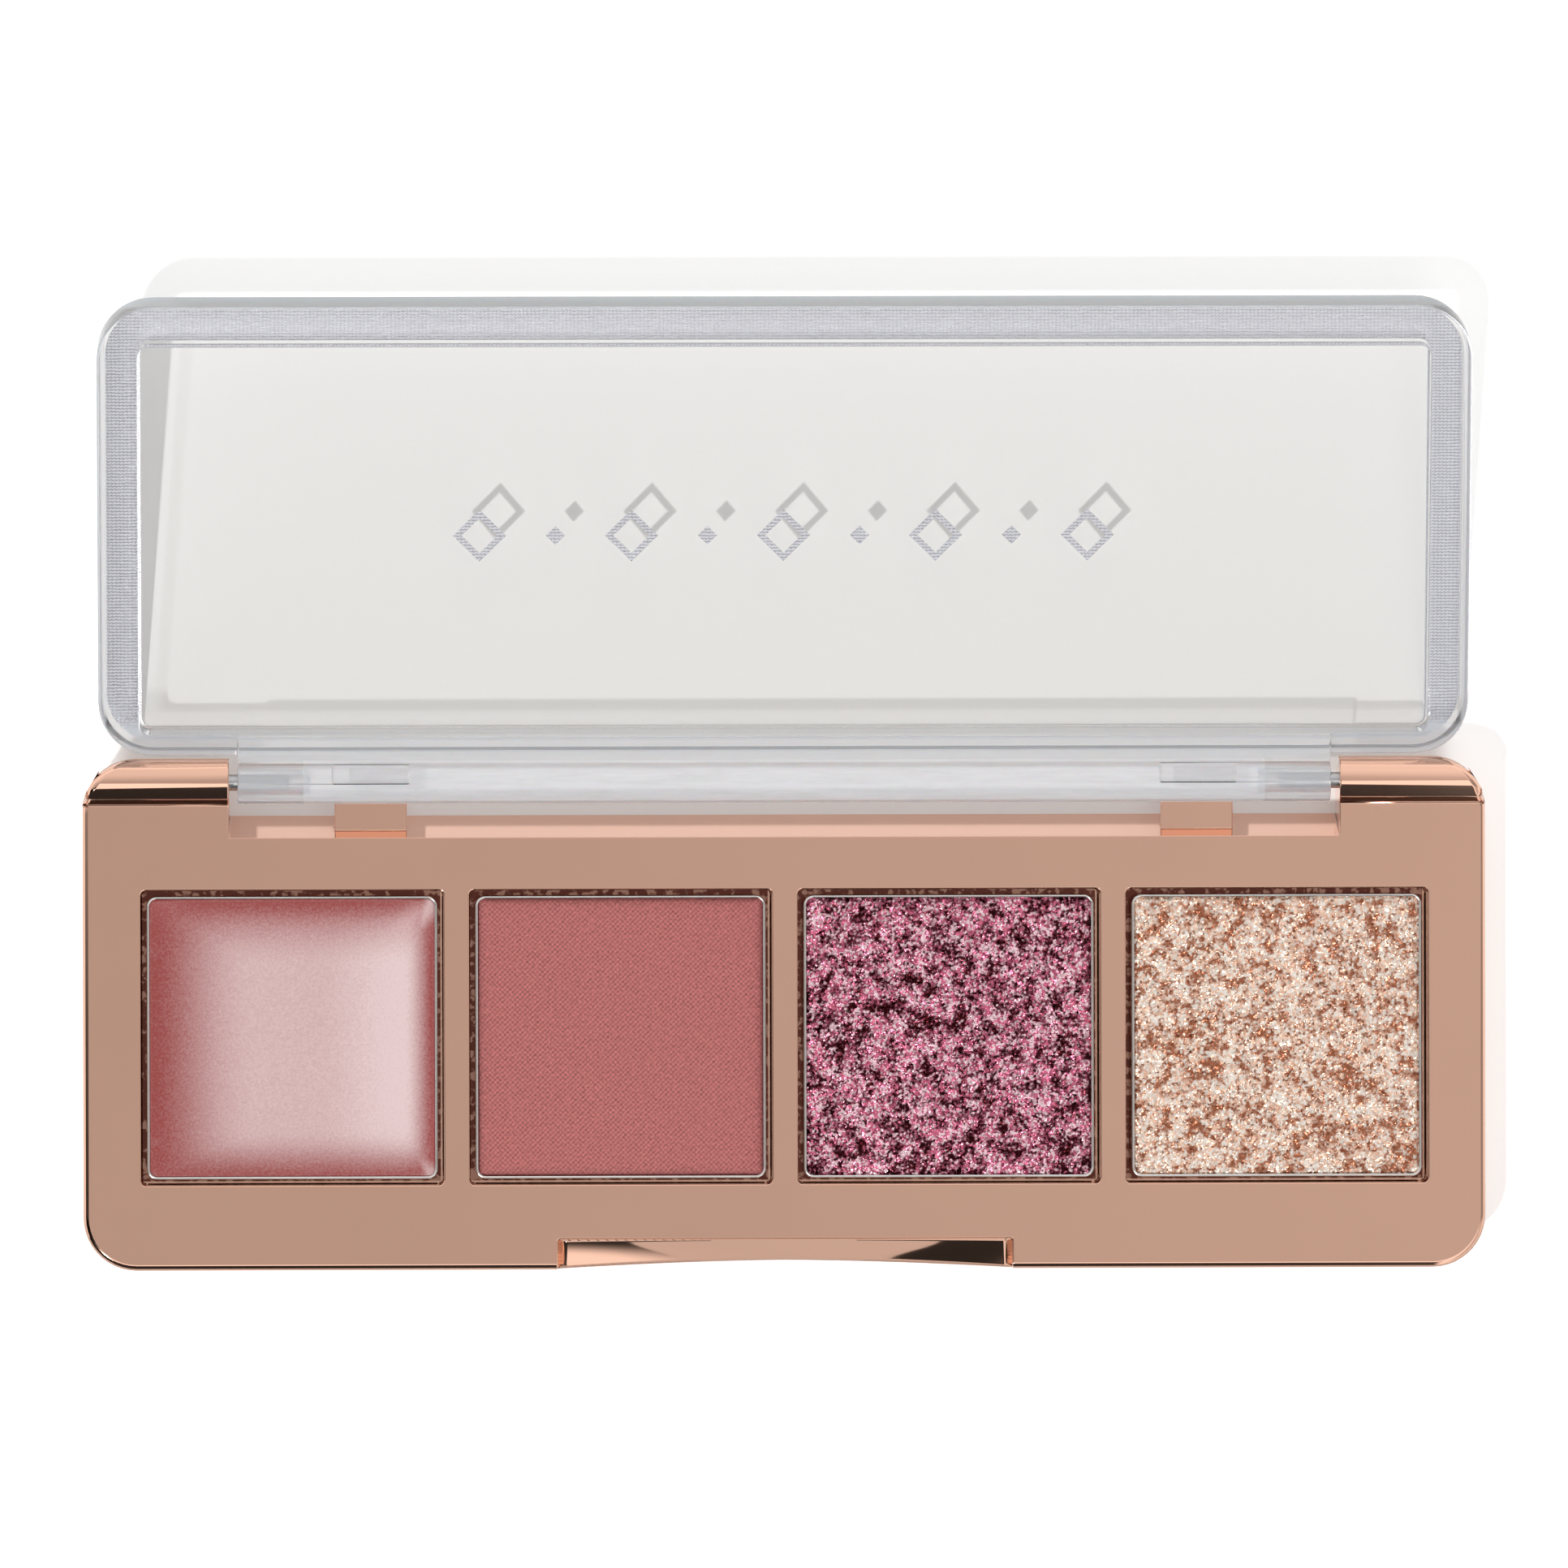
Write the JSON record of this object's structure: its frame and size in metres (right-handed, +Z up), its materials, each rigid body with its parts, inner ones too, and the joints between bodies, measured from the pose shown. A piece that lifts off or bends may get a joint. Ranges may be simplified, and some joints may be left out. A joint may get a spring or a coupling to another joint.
{
  "type": "eyeshadow palette",
  "caption": "Mirror-finish eyeshadow palette with square pans in a row and a clear framed lid on a pinned back hinge.",
  "frame": {"origin": "centre of the base's flat underside, on the surface it rests on", "axes": "+X along the palette's length and the hinge line, +Y from the thumb scoop towards the hinge, +Z up"},
  "size_m": [0.095, 0.0658, 0.0107],
  "materials": {
    "rose_gold": "vacuum-metallised rose gold mirror over moulded ABS",
    "cover_plastic": "fine satin rose-gold moulding",
    "tinplate": "bright tinplate",
    "cream_rose": "poured satin cream",
    "matte_rose": "pressed matte powder with a cloth mark",
    "plum_glitter": "pressed metallic flakes",
    "champagne_glitter": "pressed pearl flakes",
    "glue": "cured hot-melt glue",
    "clear_plastic": "polished clear moulding",
    "silver_foil": "hot-stamped silver foil with a linen emboss",
    "pin_steel": "drawn wire"
  },
  "bodies": {
    "base": {"base_tray": "rose_gold", "bottom_cover": "cover_plastic", "pan_cream": "tinplate", "pan_matte": "tinplate", "pan_plum": "tinplate", "pan_champagne": "tinplate", "cake_cream": "cream_rose", "cake_matte": "matte_rose", "cake_plum": "plum_glitter", "cake_champagne": "champagne_glitter", "glue_cream": "glue", "glue_matte": "glue", "glue_plum": "glue", "glue_champagne": "glue", "hinge_pin_left": "pin_steel", "hinge_pin_right": "pin_steel"},
    "lid": {"lid": "clear_plastic", "foil_border": "silver_foil", "foil_ornament": "silver_foil"}
  },
  "joints": [
    {"name": "lid_hinge", "type": "hinge", "parent": "base", "child": "lid", "pos_m": [0, 0.01573, 0.0044], "axis": [1, 0, 0], "range_deg": [0, 168]}
  ]
}
